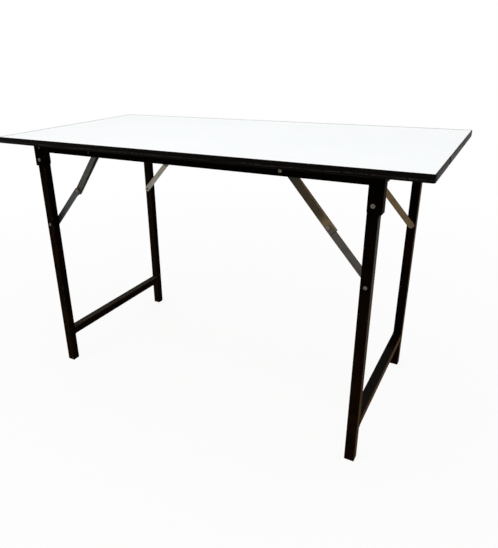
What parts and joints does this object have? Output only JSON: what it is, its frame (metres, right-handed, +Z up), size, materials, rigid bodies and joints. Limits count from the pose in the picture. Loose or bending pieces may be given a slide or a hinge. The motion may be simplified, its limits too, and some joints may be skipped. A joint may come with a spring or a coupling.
{
  "type": "folding table",
  "caption": "Rectangular folding table with a white laminate top, black edge strip, black steel tube frame, inward-folding leg sets and locking stays.",
  "frame": {"origin": "middle of the footprint, on the floor that the foot plugs rest on", "axes": "+X along the table's length to the end with the lower pivots, +Y across it to the back, +Z up"},
  "size_m": [1.2, 0.6, 0.75],
  "materials": {
    "laminate": "satin",
    "chipboard": "raw",
    "edge_strip": "satin",
    "foot_plastic": "matt",
    "black_steel": "satin",
    "zinc": "satin"
  },
  "bodies": {
    "table_top": {"board_core": "chipboard", "bracket_left_back": "black_steel", "bracket_left_front": "black_steel", "bracket_right_back": "black_steel", "bracket_right_front": "black_steel", "bracket_rivet_left_back": "black_steel", "bracket_rivet_left_front": "black_steel", "bracket_rivet_right_back": "black_steel", "bracket_rivet_right_front": "black_steel", "edge_band": "edge_strip", "end_rail_left": "black_steel", "end_rail_right": "black_steel", "pivot_rivet_left_back": "zinc", "pivot_rivet_left_front": "zinc", "pivot_rivet_right_back": "zinc", "pivot_rivet_right_front": "zinc", "rail_back": "black_steel", "rail_front": "black_steel", "rail_stay_rivet_left_back": "zinc", "rail_stay_rivet_left_front": "zinc", "rail_stay_rivet_right_back": "zinc", "rail_stay_rivet_right_front": "zinc", "top_laminate": "laminate", "top_screw_back_left": "zinc", "top_screw_back_middle": "zinc", "top_screw_back_right": "zinc", "top_screw_front_left": "zinc", "top_screw_front_middle": "zinc", "top_screw_front_right": "zinc"},
    "left_leg_set": {"left_crossbar": "black_steel", "left_foot_plug_back": "foot_plastic", "left_foot_plug_front": "foot_plastic", "left_leg_back": "black_steel", "left_leg_front": "black_steel", "left_leg_stay_rivet_back": "zinc", "left_leg_stay_rivet_front": "zinc"},
    "left_front_upper_stay": {"left_front_upper_link": "zinc", "left_front_joint_rivet": "zinc"},
    "left_front_lower_stay": {"left_front_lower_link": "zinc", "left_front_rivet_tail": "zinc"},
    "left_back_upper_stay": {"left_back_upper_link": "zinc", "left_back_joint_rivet": "zinc"},
    "left_back_lower_stay": {"left_back_lower_link": "zinc", "left_back_rivet_tail": "zinc"},
    "right_leg_set": {"right_crossbar": "black_steel", "right_foot_plug_back": "foot_plastic", "right_foot_plug_front": "foot_plastic", "right_leg_back": "black_steel", "right_leg_front": "black_steel", "right_leg_stay_rivet_back": "zinc", "right_leg_stay_rivet_front": "zinc"},
    "right_front_upper_stay": {"right_front_upper_link": "zinc", "right_front_joint_rivet": "zinc"},
    "right_front_lower_stay": {"right_front_lower_link": "zinc", "right_front_rivet_tail": "zinc"},
    "right_back_upper_stay": {"right_back_upper_link": "zinc", "right_back_joint_rivet": "zinc"},
    "right_back_lower_stay": {"right_back_lower_link": "zinc", "right_back_rivet_tail": "zinc"}
  },
  "joints": [
    {"name": "left_leg_fold", "type": "hinge", "parent": "table_top", "child": "left_leg_set", "pos_m": [-0.484, 0, 0.6855], "axis": [0, -1, 0], "range_deg": [0, 90]},
    {"name": "left_front_upper_turn", "type": "hinge", "parent": "table_top", "child": "left_front_upper_stay", "pos_m": [-0.287, -0.2285, 0.7202], "axis": [0, 1, 0], "range_deg": [0, 34.3]},
    {"name": "left_front_lower_turn", "type": "hinge", "parent": "left_front_upper_stay", "child": "left_front_lower_stay", "pos_m": [-0.38095, -0.2285, 0.59608], "axis": [0, -1, 0], "range_deg": [0, 173.1]},
    {"name": "left_back_upper_turn", "type": "hinge", "parent": "table_top", "child": "left_back_upper_stay", "pos_m": [-0.287, 0.2285, 0.7202], "axis": [0, 1, 0], "range_deg": [0, 34.3]},
    {"name": "left_back_lower_turn", "type": "hinge", "parent": "left_back_upper_stay", "child": "left_back_lower_stay", "pos_m": [-0.38095, 0.2285, 0.59608], "axis": [0, -1, 0], "range_deg": [0, 173.1]},
    {"name": "right_leg_fold", "type": "hinge", "parent": "table_top", "child": "right_leg_set", "pos_m": [0.484, 0, 0.6665], "axis": [0, 1, 0], "range_deg": [0, 88.5]},
    {"name": "right_front_upper_turn", "type": "hinge", "parent": "table_top", "child": "right_front_upper_stay", "pos_m": [0.277, -0.2285, 0.7202], "axis": [0, -1, 0], "range_deg": [0, 49.5]},
    {"name": "right_front_lower_turn", "type": "hinge", "parent": "right_front_upper_stay", "child": "right_front_lower_stay", "pos_m": [0.38326, -0.2285, 0.59639], "axis": [0, 1, 0], "range_deg": [0, 158.2]},
    {"name": "right_back_upper_turn", "type": "hinge", "parent": "table_top", "child": "right_back_upper_stay", "pos_m": [0.277, 0.2285, 0.7202], "axis": [0, -1, 0], "range_deg": [0, 49.5]},
    {"name": "right_back_lower_turn", "type": "hinge", "parent": "right_back_upper_stay", "child": "right_back_lower_stay", "pos_m": [0.38326, 0.2285, 0.59639], "axis": [0, 1, 0], "range_deg": [0, 158.2]}
  ],
  "couplings": [
    {"joint": "left_front_upper_turn", "follows": "left_leg_fold", "ratio": 0.3808},
    {"joint": "left_front_lower_turn", "follows": "left_leg_fold", "ratio": 1.9231},
    {"joint": "left_back_upper_turn", "follows": "left_leg_fold", "ratio": 0.3808},
    {"joint": "left_back_lower_turn", "follows": "left_leg_fold", "ratio": 1.9231},
    {"joint": "right_front_upper_turn", "follows": "right_leg_fold", "ratio": 0.5592},
    {"joint": "right_front_lower_turn", "follows": "right_leg_fold", "ratio": 1.7867},
    {"joint": "right_back_upper_turn", "follows": "right_leg_fold", "ratio": 0.5592},
    {"joint": "right_back_lower_turn", "follows": "right_leg_fold", "ratio": 1.7867}
  ]
}
